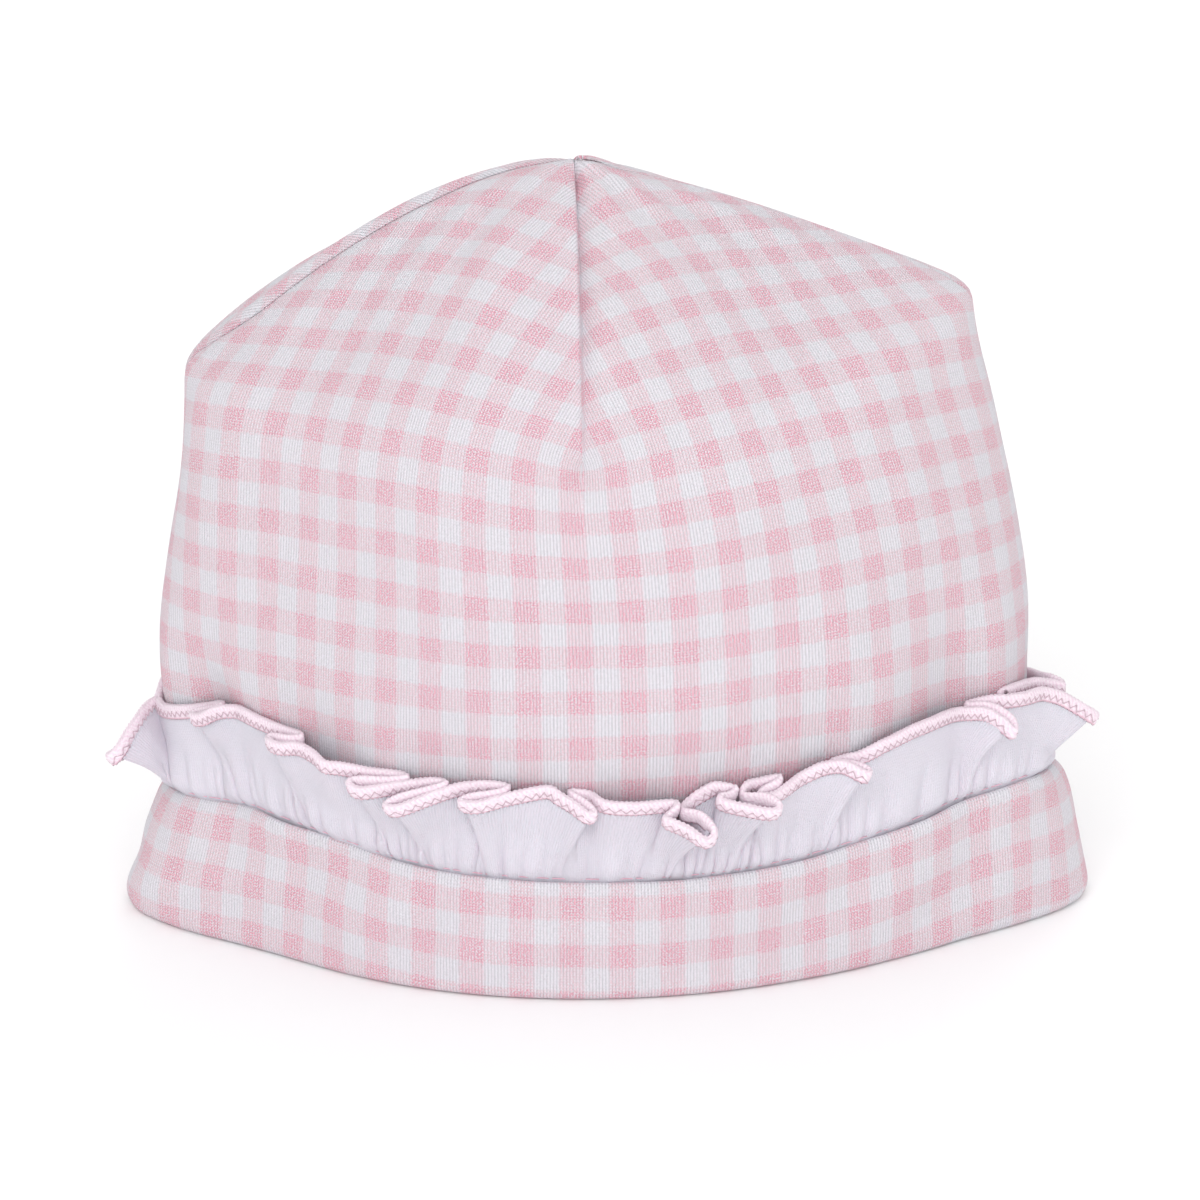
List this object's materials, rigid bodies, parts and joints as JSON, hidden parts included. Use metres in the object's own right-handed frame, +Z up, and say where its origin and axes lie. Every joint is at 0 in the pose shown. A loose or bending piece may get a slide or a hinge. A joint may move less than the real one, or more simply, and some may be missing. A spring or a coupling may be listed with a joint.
{
  "type": "ruffle hat",
  "caption": "Baby's pull-on knit hat: a rounded gingham crown shaped by darts, a turned-up gingham cuff and a white gathered ruffle standing up behind it.",
  "frame": {"origin": "on the surface that the hat stands on, under the middle of its box", "axes": "+X towards the right side seam as seen from the front, +Y towards the back, +Z up to the point of the crown"},
  "size_m": [0.1582, 0.1034, 0.1283],
  "materials": {
    "gingham_knit": "fine cotton interlock knit, printed in a pink and white gingham of 4 mm checks, matt",
    "white_knit": "fine white cotton knit, matt",
    "pink_thread": "pale pink overlock thread wound over the cloth's edge, soft sheen"
  },
  "bodies": {
    "root": {"crown_front": "gingham_knit", "crown_back": "gingham_knit", "cuff": "gingham_knit", "ruffle": "white_knit", "ruffle_edging": "pink_thread"}
  },
  "joints": []
}
